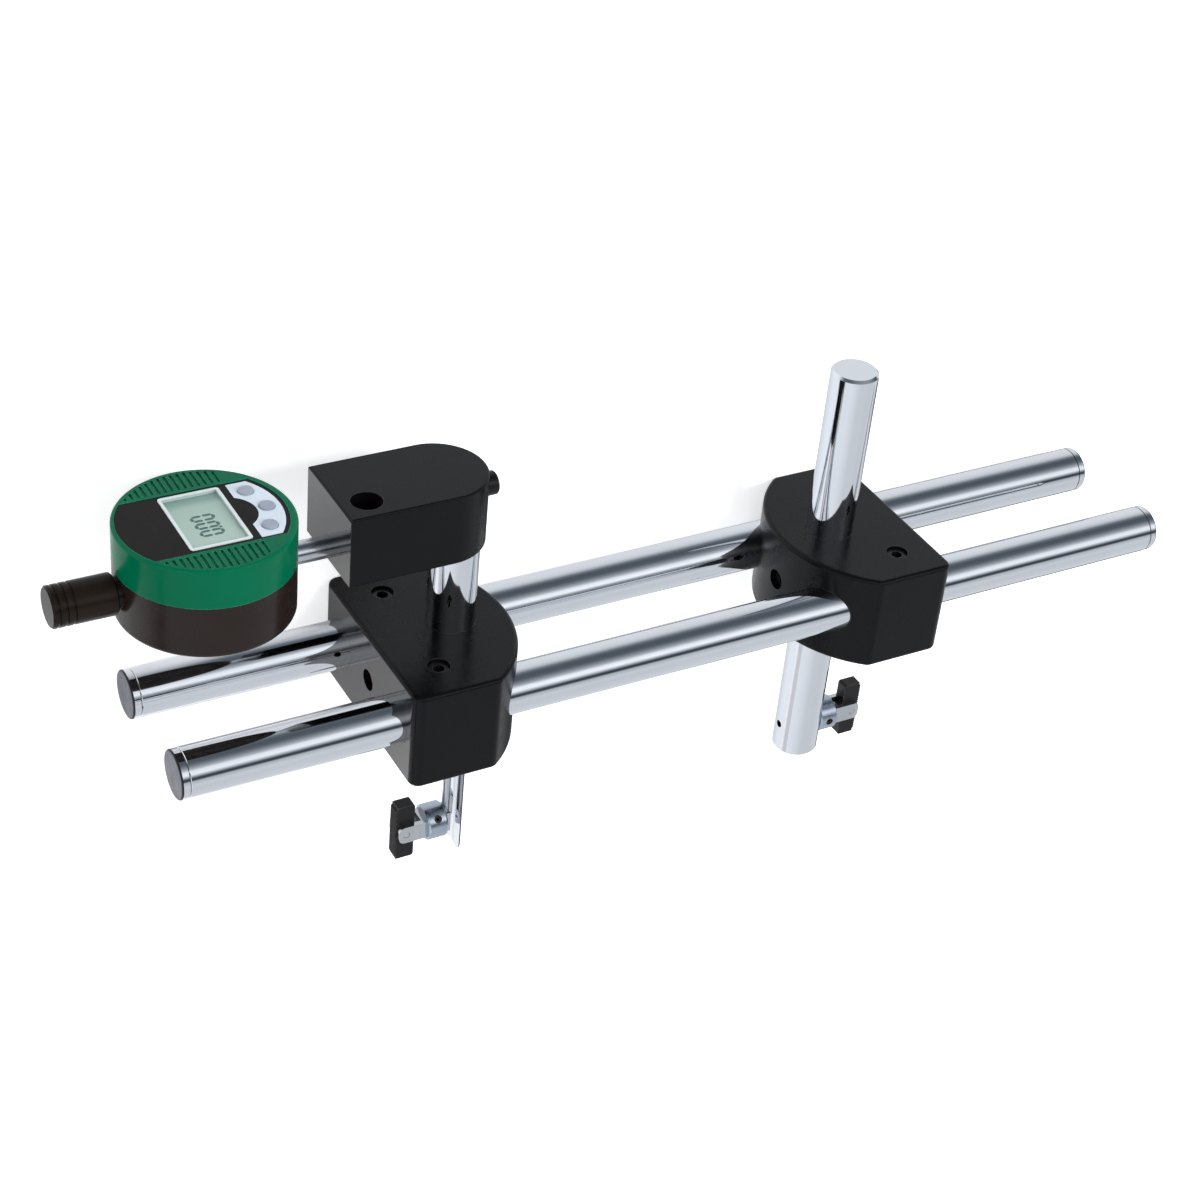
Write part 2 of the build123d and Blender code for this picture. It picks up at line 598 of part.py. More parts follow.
def spindle_spring():
    """Coil spring behind the spindle's collar, drawn shorter than its space by the travel."""
    left = -CASE_BORE / 2 + SPINDLE_TRAVEL + CONTACT_GAP + SPRING_WIRE / 2
    right = -SPINDLE_COLLAR_X - CONTACT_GAP - SPRING_WIRE / 2
    radius = SPINDLE_DIA / 2 + SPRING_WIRE / 2 + CONTACT_GAP
    path = Helix(pitch=(right - left) / SPRING_COILS, height=right - left, radius=radius)
    start = Plane(origin=path @ 0, z_dir=path % 0)
    wire = sweep(start * Circle(SPRING_WIRE / 2), path)
    return Pos(left, 0, STEM_LEVEL) * Rot(0, 90, 0) * wire


def contact_tip():
    left = STEM_END - TIP_SPIGOT
    right = CASE_X - LEVER_DIA / 2 - CONTACT_GAP
    tip = rod_x(TIP_DIA, left, right - TIP_DIA / 2, 0, STEM_LEVEL)
    tip += Pos(right - TIP_DIA / 2, 0, STEM_LEVEL) * Sphere(TIP_DIA / 2)
    return tip + rod_x(TIP_SPIGOT_DIA, left - TIP_SPIGOT, left, 0, STEM_LEVEL)


def dust_cap():
    """Ribbed cap over the rear end of the spindle, screwed on the nipple of the case."""
    right = -CASE_R - BOSS_REACH
    left = right - CAP_LENGTH
    cap = rod_x(CAP_DIA, left, right, 0, STEM_LEVEL)
    for last in (False, True):
        cap = chamfer(end_edges(cap, Axis.X, last), 0.6)
    for i in range(CAP_GROOVES):
        x = left + CAP_GROOVE_PITCH * (i + 1) - CAP_GROOVE
        ring = rod_x(CAP_DIA, x, x + CAP_GROOVE, 0, STEM_LEVEL)
        cap -= ring - rod_x(CAP_DIA - 2 * CAP_GROOVE_DEPTH, x, x + CAP_GROOVE, 0, STEM_LEVEL)
    return cap - rod_x(NIPPLE_DIA + 2 * RUNNING_FIT, left + CAP_ROOF, right, 0, STEM_LEVEL)


# Turning front of the indicator, about the same axis

def face_outline(offset):
    half = 2 * (FACE_HALF_HEIGHT - offset)
    return (Pos(FACE_SHIFT, 0) * Circle(FACE_RADIUS - offset)) & Rectangle(CASE_DIA, half)


def panel_outline(offset):
    """Segment of a circle beside the display, with a round notch before the middle button."""
    start = PANEL_START + offset
    width = PANEL_OUTER - start
    segment = Circle(PANEL_OUTER - offset) & (Pos(start + width / 2, 0) * Rectangle(width, CASE_DIA))
    segment -= Pos(PANEL_NOTCH_X, 0) * Circle(PANEL_NOTCH_RADIUS + offset)
    limit = 2 * (FACE_HALF_HEIGHT - PANEL_MARGIN - offset)
    return segment & Rectangle(CASE_DIA, limit)


def display_outline(inset):
    corner = max(DISPLAY_CORNER - inset, 0.2)
    return RectangleRounded(DISPLAY_ACROSS - 2 * inset, DISPLAY_ALONG - 2 * inset, corner)


def grip_grooves():
    """Grooves on both shoulders that give the front its ribbed grip."""
    cuts = []
    for i in range(GRIP_COUNT):
        x = GRIP_LEFT + i * GRIP_PITCH
        outer = sqrt(GRIP_RADIUS ** 2 - x ** 2)
        length = outer - GRIP_START
        for side in (-1, 1):
            groove = Box(GRIP_GROOVE, length, GRIP_DEPTH, align=HIGH)
            cuts.append(Pos(x, side * (GRIP_START + length / 2), FRONT_TOP) * groove)
    return cuts


def front_housing():
    body = rod_z(CASE_DIA, CASE_SPLIT, FRONT_TOP)
    body = fillet(end_edges(body, Axis.Z), FRONT_EDGE)
    body -= rod_z(FRONT_BORE, CASE_SPLIT, ROOF_UNDERSIDE)
    body -= Pos(0, 0, POCKET_LEVEL) * extrude(face_outline(0), FACE_POCKET)
    body -= Pos(0, 0, ROOF_UNDERSIDE) * extrude(display_outline(DISPLAY_RIM), FRONT_ROOF)
    for x, y in BUTTON_PLACES.values():
        body -= rod_z(BUTTON_DIA + 2 * BUTTON_FIT, ROOF_UNDERSIDE, FRONT_TOP, x, y)
    return body - grip_grooves()


def face_plate():
    plate = Pos(0, 0, POCKET_LEVEL) * extrude(face_outline(FRAME_FIT), FACE_LEVEL - POCKET_LEVEL)
    plate -= Pos(0, 0, POCKET_LEVEL) * extrude(display_outline(0), FACE_POCKET)
    return plate - Pos(0, 0, POCKET_LEVEL) * extrude(panel_outline(0), FACE_POCKET)


def display_frame():
    height = FACE_LEVEL + DISPLAY_PROUD - POCKET_LEVEL
    ring = extrude(display_outline(FRAME_FIT) - display_outline(DISPLAY_RIM), height)
    return Pos(0, 0, POCKET_LEVEL) * ring


def display_window():
    pane = extrude(display_outline(DISPLAY_RIM + FRAME_FIT), GLASS_THICKNESS)
    return Pos(0, 0, GLASS_LEVEL) * pane


def lcd_panel():
    """Flange under the roof of the housing, and the cell that stands up to the window."""
    flange = extrude(display_outline(DISPLAY_RIM - LCD_LAP), -LCD_FLANGE)
    cell = extrude(display_outline(DISPLAY_RIM + FRAME_FIT), GLASS_LEVEL - ROOF_UNDERSIDE)
    return Pos(0, 0, ROOF_UNDERSIDE) * (flange + cell)


def button_panel():
    plate = Pos(0, 0, POCKET_LEVEL) * extrude(panel_outline(FRAME_FIT), FACE_LEVEL - POCKET_LEVEL)
    for x, y in BUTTON_PLACES.values():
        plate -= rod_z(BUTTON_DIA + 2 * BUTTON_FIT, POCKET_LEVEL, FRONT_TOP, x, y)
    return plate


def button(place):
    x, y = place
    top = FRONT_TOP + BUTTON_PROUD
    key = rod_z(BUTTON_DIA, ROOF_UNDERSIDE, top, x, y)
    key = fillet(end_edges(key, Axis.Z), 0.4)
    return key + rod_z(BUTTON_FLANGE_DIA, ROOF_UNDERSIDE - BUTTON_FLANGE, ROOF_UNDERSIDE, x, y)


# Putting the gauge together

def rail_nodes():
    nodes = {}
    for name, y in RAIL_YS.items():
        nodes[f"rail_{name}"] = rail(y)
        nodes[f"rail_plug_{name}_left"] = rail_plug(y, False)
        nodes[f"rail_plug_{name}_right"] = rail_plug(y, True)
    return nodes


def carriage_nodes():
    pieces = {"block": block()}
    for name, y in RAIL_YS.items():
        pieces[f"rail_lock_screw_{name}"] = rail_lock_screw(y)
    pieces["post_lock_screw_inner"] = post_lock_screw(-BLOCK_APEX)
    pieces["post_lock_screw_outer"] = post_lock_screw(BLOCK_FLAT)
    nodes = {}
    for name, solid in pieces.items():
        nodes[f"right_{name}"] = Pos(POST_SPACING, 0, 0) * solid
        nodes[f"left_{name}"] = mirror(solid, Plane.YZ)
    return nodes


def shoe_nodes():
    pieces = {
        "shoe_collar": shoe_collar(),
        "collar_screw": collar_screw(),
        "shoe_fork": shoe_fork(),
        "shoe_pin": shoe_pin(),
        "shoe": shoe(),
    }
    right_seat = Pos(POST_SPACING + SHOE_SEAT_ON_POST, 0, -SHOE_LEVEL)
    left_seat = Pos(LEVER_FACE, 0, -SHOE_LEVEL)
    nodes = {}
    for name, solid in pieces.items():
        turn = Rot(-LEFT_COLLAR_TURN, 0, 0) if "collar" in name else Rot(0, 0, 0)
        nodes[f"right_{name}"] = right_seat * solid
        nodes[f"left_{name}"] = left_seat * turn * mirror(solid, Plane.YZ)
    return nodes


def post_nodes():
    at_right = Pos(POST_SPACING, 0, 0)
    return {
        "right_post": at_right * right_post(),
        "fork_screw": at_right * fork_screw(),
        "left_post": left_post(),
        "lever": lever(),
        "lever_pin": lever_pin(),
        "head_block": head_block(),
        "head_lock_screw": head_lock_screw(),
        "stem_cotter": stem_cotter(),
        "stem_lock_screw": stem_lock_screw(),
    }


def indicator_nodes():
    pieces = {
        "indicator_case": indicator_case(),
        "indicator_back_cover": back_cover(),
        "back_cover_screws": cover_screws(),
        "circuit_board": circuit_board(),
        "battery": battery(),
        "indicator_stem": indicator_stem(),
        "spindle": spindle(),
        "scale_strip": scale_strip(),
        "spindle_spring": spindle_spring(),
        "contact_tip": contact_tip(),
        "dust_cap": dust_cap(),
        "front_housing": front_housing(),
        "face_plate": face_plate(),
        "display_frame": display_frame(),
        "display_window": display_window(),
        "lcd_panel": lcd_panel(),
        "button_panel": button_panel(),
    }
    for name, place in BUTTON_PLACES.items():
        pieces[f"button_{name}"] = button(place)
    return {name: Pos(-CASE_X, 0, 0) * solid for name, solid in pieces.items()}


def gauge():
    """All pieces, laid on the blocks' back faces with the origin under the middle."""
    nodes = {}
    for group in (rail_nodes, carriage_nodes, shoe_nodes, post_nodes, indicator_nodes):
        nodes.update(group())
    laid = {name: Rot(-90, 0, 0) * solid for name, solid in nodes.items()}
    box = Compound(children=[Compound(children=s.solids()) for s in laid.values()]).bounding_box()
    shift = Pos(-box.center().X, -box.center().Y, -box.min.Z)
    return {name: shift * solid for name, solid in laid.items()}


if __name__ == "__main__":
    os.makedirs("parts", exist_ok=True)
    for name, solid in gauge().items():
        export_step(solid, f"parts/{name}.step")
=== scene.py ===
from math import cos, pi, radians, sin

import bmesh
import bpy
from mathutils import Matrix, Vector

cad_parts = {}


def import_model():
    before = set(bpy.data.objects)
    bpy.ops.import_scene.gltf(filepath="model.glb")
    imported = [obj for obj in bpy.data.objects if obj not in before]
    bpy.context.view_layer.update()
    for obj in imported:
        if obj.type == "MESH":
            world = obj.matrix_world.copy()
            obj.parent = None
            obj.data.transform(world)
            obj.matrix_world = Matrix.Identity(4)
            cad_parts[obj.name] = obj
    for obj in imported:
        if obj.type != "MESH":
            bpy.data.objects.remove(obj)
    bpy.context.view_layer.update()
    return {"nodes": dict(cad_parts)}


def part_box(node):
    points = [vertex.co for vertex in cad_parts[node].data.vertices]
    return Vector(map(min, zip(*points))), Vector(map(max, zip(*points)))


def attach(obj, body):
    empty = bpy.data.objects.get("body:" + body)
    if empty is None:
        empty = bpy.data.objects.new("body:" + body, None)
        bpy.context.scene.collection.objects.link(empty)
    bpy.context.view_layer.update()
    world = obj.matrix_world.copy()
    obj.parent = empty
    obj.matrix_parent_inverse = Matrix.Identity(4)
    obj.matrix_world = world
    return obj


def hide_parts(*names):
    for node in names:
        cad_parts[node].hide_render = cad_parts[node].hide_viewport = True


# Looks for the digital internal thread gauge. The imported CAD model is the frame. This script
# gives every node its finish and adds the display's cell and figures, the floor, the light and
# the camera. Lengths are in metres, row frame: +X along the rails, +Y up the posts, +Z up from
# the floor on which the gauge lies. A colour written with three numbers is sRGB from 0 to 255,
# and one with four is linear from 0 to 1.

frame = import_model()
NODES = frame["nodes"]
SCENE = bpy.context.scene
MM = 0.001
MICRON = 0.000001
WHITE = (1, 1, 1, 1)
GREY = (0.5, 0.5, 0.5, 1)
NEAR_BLACK = (0.02, 0.02, 0.02, 1)


# Node helpers

NOISE_DETAIL = 3.0
NOISE_ROUGHNESS = 0.55
NOISE_BAND = (0.3, 0.7)      # where most values of a noise lie
BUMP_STRENGTH = 0.5
BEVEL_SAMPLES = 6
EDGE_COSINE = (0.995, 0.86)  # cosine of the bevel's turn on a flat and on a worn edge


def node(tree, kind, **values):
    made = tree.nodes.new(kind)
    for key, value in values.items():
        setattr(made, key, value)
    return made


def link(tree, source, target):
    tree.links.new(source, target)


def object_coords(tree, scale=(1, 1, 1)):
    coords = node(tree, "ShaderNodeTexCoord")
    mapping = node(tree, "ShaderNodeMapping")
    mapping.inputs["Scale"].default_value = scale
    link(tree, coords.outputs["Object"], mapping.inputs["Vector"])
    return mapping.outputs["Vector"]


def axes(tree, vector):
    """Outputs X, Y and Z of a vector, by name."""
    split = node(tree, "ShaderNodeSeparateXYZ")
    link(tree, vector, split.inputs[0])
    return split.outputs


def noise(tree, coords, scale, detail=NOISE_DETAIL):
    made = node(tree, "ShaderNodeTexNoise")
    made.inputs["Scale"].default_value = scale
    made.inputs["Detail"].default_value = detail
    made.inputs["Roughness"].default_value = NOISE_ROUGHNESS
    link(tree, coords, made.inputs["Vector"])
    return made.outputs["Fac"]


def ramp(tree, factor, stops):
    """Colour ramp over (place, linear colour) stops."""
    made = node(tree, "ShaderNodeValToRGB")
    elements = made.color_ramp.elements
    while len(elements) > 1:
        elements.remove(elements[-1])
    elements[0].position, elements[0].color = stops[0][0], (*stops[0][1], 1)
    for place, colour in stops[1:]:
        elements.new(place).color = (*colour, 1)
    link(tree, factor, made.inputs["Fac"])
    return made.outputs["Color"]


def remap(tree, value, source, target):
    """A value carried from one range to another and held at its ends."""
    made = node(tree, "ShaderNodeMapRange")
    made.inputs["From Min"].default_value, made.inputs["From Max"].default_value = source
    made.inputs["To Min"].default_value, made.inputs["To Max"].default_value = target
    link(tree, value, made.inputs["Value"])
    return made.outputs["Result"]


def combine(tree, operation, *values):
    """Maths on values that are each an output of a node or a number."""
    made = node(tree, "ShaderNodeMath", operation=operation)
    for place, value in enumerate(values):
        if isinstance(value, float):
            made.inputs[place].default_value = value
        else:
            link(tree, value, made.inputs[place])
    return made.outputs[0]


def mix_shaders(tree, factor, first, second):
    made = node(tree, "ShaderNodeMixShader")
    link(tree, factor, made.inputs["Fac"])
    link(tree, first, made.inputs[1])
    link(tree, second, made.inputs[2])
    return made.outputs["Shader"]


def bump(tree, height, distance):
    made = node(tree, "ShaderNodeBump")
    made.inputs["Strength"].default_value = BUMP_STRENGTH
    made.inputs["Distance"].default_value = distance
    link(tree, height, made.inputs["Height"])
    return made.outputs["Normal"]


def edge_wear(tree, radius):
    """0 on flats, 1 on edges, from how far a small bevel turns the normal."""
    bevel = node(tree, "ShaderNodeBevel", samples=BEVEL_SAMPLES)
    bevel.inputs["Radius"].default_value = radius
    geometry = node(tree, "ShaderNodeNewGeometry")
    dot = node(tree, "ShaderNodeVectorMath", operation="DOT_PRODUCT")
    link(tree, bevel.outputs["Normal"], dot.inputs[0])
    link(tree, geometry.outputs["Normal"], dot.inputs[1])
    return remap(tree, dot.outputs["Value"], EDGE_COSINE, (0, 1))


def linear(colour):
    """Linear colour from an sRGB triple of 0 to 255."""
    channels = [c / 255 for c in colour]
    return tuple(c / 12.92 if c <= 0.04045 else ((c + 0.055) / 1.055) ** 2.4 for c in channels)


def shade(colour, factor):
    return tuple(min(1.0, c * factor) for c in colour)


def new_material(name):
    made = bpy.data.materials.new(name)
    made.use_nodes = True
    made.diffuse_color = GREY
    return made, made.node_tree, made.node_tree.nodes["Principled BSDF"]


# Finishes: one for each slot of the record, and a few for single faces and the added pieces.
# Blotches, smears and grain are noises of rising scale, for tone, roughness and height.

BLOTCH_DETAIL = 4.0
SMEAR_SCALE = 3              # times the blotches' scale
GRAIN_DETAIL = 2.0
PATCH_SCALE = 8              # times the blotches' scale, for wear that comes and goes
PATCH_DETAIL = 5.0
PATCH_BAND = (0.35, 0.65)
PATCH_WEAR = (0.1, 0.9)

FINISHES = {
    "chromed_steel": dict(colour=(226, 228, 233), rough=0.055, rough_spread=0.02, metallic=1.0,
                          spread=0.015, grain=700, grain_depth=1.5 * MICRON, blotch=35),
    "bright_steel": dict(colour=(198, 200, 204), rough=0.16, metallic=1.0, spread=0.06,
                         grain=2400, grain_depth=10 * MICRON, stretch=(4, 1, 1)),
    "black_block": dict(colour=(12, 12, 14), rough=0.25, spread=0.10, grain=1500,
                        grain_depth=5 * MICRON, wear=(66, 65, 65), specular=0.15),
    "black_ground": dict(colour=(26, 21, 21), rough=0.06, rough_spread=0.025, spread=0.10,
                         grain=1900, grain_depth=1.2 * MICRON, stretch=(1, 0.12, 1),
                         specular=0.8),
    "black_oxide": dict(colour=(22, 21, 22), rough=0.3, metallic=0.1, spread=0.16, grain=1800,
                        grain_depth=20 * MICRON, wear=(84, 82, 80), specular=0.25),
    "black_plastic": dict(colour=(35, 27, 24), rough=0.24, spread=0.08, grain=1900,
                          grain_depth=6 * MICRON, specular=0.2),
    "cap_plastic": dict(colour=(31, 25, 20), rough=0.15, spread=0.08, grain=1900,
                        grain_depth=3 * MICRON, specular=0.1),
    "zinc": dict(colour=(174, 184, 197), rough=0.26, metallic=1.0, spread=0.10, grain=1500,
                 grain_depth=10 * MICRON, wear=(206, 213, 220), wear_radius=0.3 * MM),
    # Near black, a painted shadow along the rounded rim of a rail's plug.
    "plug_rim_painted_shadow": dict(colour=(24, 25, 30), rough=0.34, spread=0.12, grain=1300,
                      grain_depth=10 * MICRON, specular=0.3),
    "dark_plug": dict(colour=(78, 81, 92), rough=0.32, spread=0.12, grain=1300,
                      grain_depth=10 * MICRON, specular=0.42),
    "green_housing": dict(colour=(0, 99, 68), rough=0.17, spread=0.05, grain=1600,
                          grain_depth=2 * MICRON, wear=(58, 158, 128), wear_radius=0.4 * MM,
                          specular=0.09),
    "black_face": dict(colour=(17, 14, 14), rough=0.3, spread=0.10, grain=1400,
                       grain_depth=5 * MICRON, specular=0.12),
    "silver_panel": dict(colour=(212, 222, 234), rough=0.34, spread=0.04, grain=2600,
                         grain_depth=6 * MICRON),
    "light_button": dict(colour=(150, 160, 175), rough=0.3, spread=0.06, grain=1700,
                         grain_depth=10 * MICRON),
    "pale_frame": dict(colour=(214, 224, 224), rough=0.34, spread=0.04, grain=1700,
                       grain_depth=10 * MICRON),
    "circuit": dict(colour=(20, 84, 52), rough=0.45, spread=0.15, grain=700),
    "cell_steel": dict(colour=(190, 190, 186), rough=0.3, metallic=1.0, spread=0.05),
    "brass_tip": dict(colour=(168, 92, 74), rough=0.34, metallic=0.5, spread=0.16, grain=1500),
    "carbide": dict(colour=(120, 120, 124), rough=0.2, metallic=1.0, spread=0.05),
    "lcd_segment": dict(colour=(92, 126, 122), rough=0.5, spread=0.08, grain=2600,
                        grain_depth=2 * MICRON),
}

WINDOW_TINT = (0.98, 0.99, 0.985, 1)
WINDOW_SMEAR = 240.0
WINDOW_ROUGHNESS = (0.02, 0.07)
WINDOW_BLEND = 0.3
WINDOW_GLOSS = (0.02, 0.2)   # share of the glossy skin, seen straight on and at a grazing angle

LCD_GRAIN = 260.0
LCD_GRAIN_SHARE = 0.05
LCD_ROUGHNESS = (0.4, 0.55)
# The first stops are a painted shadow of the frame along the film's far edge.
LCD_FILM_AND_PAINTED_SHADOW = ((0.0, (136, 170, 161)), (0.12, (156, 186, 177)), (0.22, (190, 214, 204)),
            (1.0, (202, 224, 215)))


def solid_finish(name, colour, rough, rough_spread=0.06, metallic=0.0, specular=0.5,
                 spread=0.12, blotch=60.0, grain=900.0, grain_depth=20 * MICRON,
                 stretch=(1, 1, 1), wear=None, wear_radius=0.6 * MM):
    """A solid surface with blotches of tone, fine grain, smears of gloss and worn edges."""
    made, tree, shader = new_material(name)
    base = linear(colour)
    coords = object_coords(tree, stretch)
    low, high = NOISE_BAND
    tone = ramp(tree, noise(tree, coords, blotch, BLOTCH_DETAIL),
                [(low, shade(base, 1 - spread)), (high, shade(base, 1 + spread))])
    if wear is not None:
        edges = edge_wear(tree, wear_radius)
        patches = noise(tree, coords, blotch * PATCH_SCALE, PATCH_DETAIL)
        patchy = combine(tree, "MULTIPLY", edges, remap(tree, patches, PATCH_BAND, PATCH_WEAR))
        mixed = node(tree, "ShaderNodeMix", data_type="RGBA")
        link(tree, patchy, mixed.inputs["Factor"])
        link(tree, tone, mixed.inputs["A"])
        mixed.inputs["B"].default_value = (*linear(wear), 1)
        tone = mixed.outputs["Result"]
    link(tree, tone, shader.inputs["Base Color"])
    smear = noise(tree, coords, blotch * SMEAR_SCALE)
    rough_range = (max(0.0, rough - rough_spread), rough + rough_spread)
    link(tree, remap(tree, smear, NOISE_BAND, rough_range), shader.inputs["Roughness"])
    fine = noise(tree, coords, grain, GRAIN_DETAIL)
    link(tree, bump(tree, fine, grain_depth), shader.inputs["Normal"])
    shader.inputs["Metallic"].default_value = metallic
    shader.inputs["Specular IOR Level"].default_value = specular
    return made


def window_finish():
    """Thin clear window: see-through with a glossy skin, stronger at grazing angles."""
    made, tree, shader = new_material("clear_window")
    clear = node(tree, "ShaderNodeBsdfTransparent")
    clear.inputs["Color"].default_value = WINDOW_TINT
    shader.inputs["Base Color"].default_value = NEAR_BLACK
    smear = noise(tree, object_coords(tree), WINDOW_SMEAR)
    link(tree, remap(tree, smear, NOISE_BAND, WINDOW_ROUGHNESS), shader.inputs["Roughness"])
    weight = node(tree, "ShaderNodeLayerWeight")
    weight.inputs["Blend"].default_value = WINDOW_BLEND
    gloss = remap(tree, weight.outputs["Facing"], (0, 1), WINDOW_GLOSS)
    skin = mix_shaders(tree, gloss, clear.outputs["BSDF"], shader.outputs["BSDF"])
    link(tree, skin, tree.nodes["Material Output"].inputs["Surface"])
    return made


def lcd_finish():
    """Grey-green display film, with a painted shadow of the frame darkening its far edge."""
    made, tree, shader = new_material("lcd")
    coords = object_coords(tree)
    low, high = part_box("display_window")
    across = remap(tree, axes(tree, coords)["Z"], (low.z, high.z), (0, 1))
    grain = noise(tree, coords, LCD_GRAIN)
    place = combine(tree, "MULTIPLY_ADD", grain, LCD_GRAIN_SHARE, across)
    film = ramp(tree, place, [(stop, linear(colour)) for stop, colour in LCD_FILM_AND_PAINTED_SHADOW])
    link(tree, film, shader.inputs["Base Color"])
    link(tree, remap(tree, grain, NOISE_BAND, LCD_ROUGHNESS), shader.inputs["Roughness"])
    return made


MATERIALS = {name: solid_finish(name, **values) for name, values in FINISHES.items()}
MATERIALS["clear_window"] = window_finish()
MATERIALS["lcd"] = lcd_finish()

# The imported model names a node's material after its slot.
for obj in NODES.values():
    slot_name = obj.data.materials[0].name.split(".")[0]
    obj.data.materials.clear()
    obj.data.materials.append(MATERIALS[slot_name])


# Faces with a finish of their own, told by the share of their normal along X

GROUND_END = 0.985
PLUG_FACE = 0.9
PLUG_SIDE = 0.15


def repaint(name, material, wanted):
    """Give another finish to the faces of a node whose normal meets the test."""
    mesh = NODES[name].data
    mesh.materials.append(MATERIALS[material])
    for polygon in mesh.polygons:
        if wanted(polygon.normal):
            polygon.material_index = len(mesh.materials) - 1


# The flat end faces of the blocks are ground smooth. A plug's face is dark grey, its rounded
# rim painted black as the shadow line between plug and rail end, and its side bright like the
# rail.
repaint("left_block", "black_ground", lambda n: n.x < -GROUND_END)
repaint("head_block", "black_ground", lambda n: n.x < -GROUND_END)
repaint("right_block", "black_ground", lambda n: n.x > GROUND_END)
for plug in [name for name in NODES if name.startswith("rail_plug_")]:
    repaint(plug, "plug_rim_painted_shadow", lambda n: abs(n.x) < PLUG_FACE)
    repaint(plug, "chromed_steel", lambda n: abs(n.x) < PLUG_SIDE)
for plated in ("left_shoe_collar", "right_shoe_collar"):
    NODES[plated].data.materials[0] = MATERIALS["zinc"]
NODES["dust_cap"].data.materials[0] = MATERIALS["cap_plastic"]


# Added objects

def new_object(name, mesh_data, material):
    mesh = bpy.data.meshes.new(name)
    mesh_data.to_mesh(mesh)
    mesh_data.free()
    made = bpy.data.objects.new(name, mesh)
    made.data.materials.append(material)
    SCENE.collection.objects.link(made)
    return made


# Display: a recessed cell with its figures

LCD_DEPTH = 0.35 * MM        # from the window's underside down to the film
CELL_CORNER = 0.3 * MM
FLANGE_CORNER = 0.5 * MM
FLANGE_HEIGHT = 1.2 * MM
CORNER_STEPS = 5
DIGITS = 3
DIGIT_HEIGHT = 8.4 * MM
DIGIT_WIDTH = 3.7 * MM
DIGIT_PITCH = 4.4 * MM
READING_SHIFT = 2.4 * MM     # of the middle digit from the window's middle, towards +Z
STROKE = 1.15 * MM
STROKE_GAP = 0.12 * MM       # from a bar's point to the place where two bars would meet
SEGMENT_HEIGHT = 0.03 * MM
DOT_SIDE = 0.9 * MM


def slab(mesh_data, outline, low, high):
    """Prism between two levels of Y over an outline of (x, z) points."""
    lower = [mesh_data.verts.new((x, low, z)) for x, z in outline]
    upper = [mesh_data.verts.new((x, high, z)) for x, z in outline]
    mesh_data.faces.new(lower)
    mesh_data.faces.new(list(reversed(upper)))
    count = len(outline)
    for i in range(count):
        j = (i + 1) % count
        mesh_data.faces.new((lower[j], lower[i], upper[i], upper[j]))


def rounded_outline(low, high, corner):
    """Outline in X and Z of a box given by two corners, with its own corners rounded."""
    centres = [(high.x - corner, high.z - corner), (low.x + corner, high.z - corner),
               (low.x + corner, low.z + corner), (high.x - corner, low.z + corner)]
    points = []
    for quarter, (x, z) in enumerate(centres):
        for step in range(CORNER_STEPS + 1):
            angle = radians(90 * (quarter + step / CORNER_STEPS))
            points.append((x + corner * cos(angle), z + corner * sin(angle)))
    return points


def display_cell():
    """The cell with its flange below the window; gives the level of its film."""
    low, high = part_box("lcd_panel")
    window_low, window_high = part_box("display_window")
    top = window_low.y - LCD_DEPTH
    cell = bmesh.new()
    slab(cell, rounded_outline(window_low, window_high, CELL_CORNER), low.y, top)
    slab(cell, rounded_outline(low, high, FLANGE_CORNER), low.y, low.y + FLANGE_HEIGHT)
    made = new_object("lcd_cell", cell, MATERIALS["lcd"])
    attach(made, "indicator_front")
    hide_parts("lcd_panel")
    return top


def bar(mesh_data, start, end, low):
    """One bar of a figure between two (x, z) points, pointed at both ends."""
    start, end = Vector(start), Vector(end)
    along = (end - start).normalized()
    start, end = start + along * STROKE_GAP, end - along * STROKE_GAP
    point = along * STROKE / 2
    side = Vector((-point.y, point.x))
    outline = [start, start + point + side, end - point + side,
               end, end - point - side, start + point - side]
    slab(mesh_data, outline, low, low + SEGMENT_HEIGHT)


def figures(film):
    """A reading of 0.00 on the film, read with -X upwards and -Z to the right."""
    window_low, window_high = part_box("display_window")
    middle = (window_low + window_high) / 2
    first = middle.z + READING_SHIFT + DIGIT_PITCH
    reach = (DIGIT_HEIGHT - STROKE) / 2
    up, down = middle.x - reach, middle.x + reach
    strokes = bmesh.new()
    for place in range(DIGITS):
        digit = first - place * DIGIT_PITCH
        sides = [digit + turn * (DIGIT_WIDTH - STROKE) / 2 for turn in (1, -1)]
        for level in (up, down):
            bar(strokes, (level, sides[0]), (level, sides[1]), film)
        for side in sides:
            bar(strokes, (up, side), (middle.x, side), film)
            bar(strokes, (middle.x, side), (down, side), film)
    base, left = middle.x + DIGIT_HEIGHT / 2, first - DIGIT_PITCH / 2 + DOT_SIDE / 2
    dot = [(base - DOT_SIDE, left), (base - DOT_SIDE, left - DOT_SIDE),
           (base, left - DOT_SIDE), (base, left)]
    slab(strokes, dot, film, film + SEGMENT_HEIGHT)
    made = new_object("lcd_figures", strokes, MATERIALS["lcd_segment"])
    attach(made, "indicator_front")


figures(display_cell())


# Floor: the camera sees it white. Metal sees it only towards -X and -Y, and elsewhere sees the
# world in its place.

FLOOR_REACH = 6.0
FLOOR_STEPS = 24
FLOOR_LEVEL_TO = 4.0         # from the middle to where it starts to rise
FLOOR_RISE = 0.5             # height over the square of the distance beyond that
FLOOR_COLOUR = (0.86, 0.86, 0.86, 1)
FLOOR_ROUGHNESS = 0.9
FLOOR_GLOW_TO_CAMERA = 0.6
FLOOR_GLOW_TO_METAL = 0.16
FLOOR_END_X = (-0.1, -0.07)  # towards +X metal stops seeing the floor between these
FLOOR_END_Y = (0.02, 0.06)   # and so towards +Y


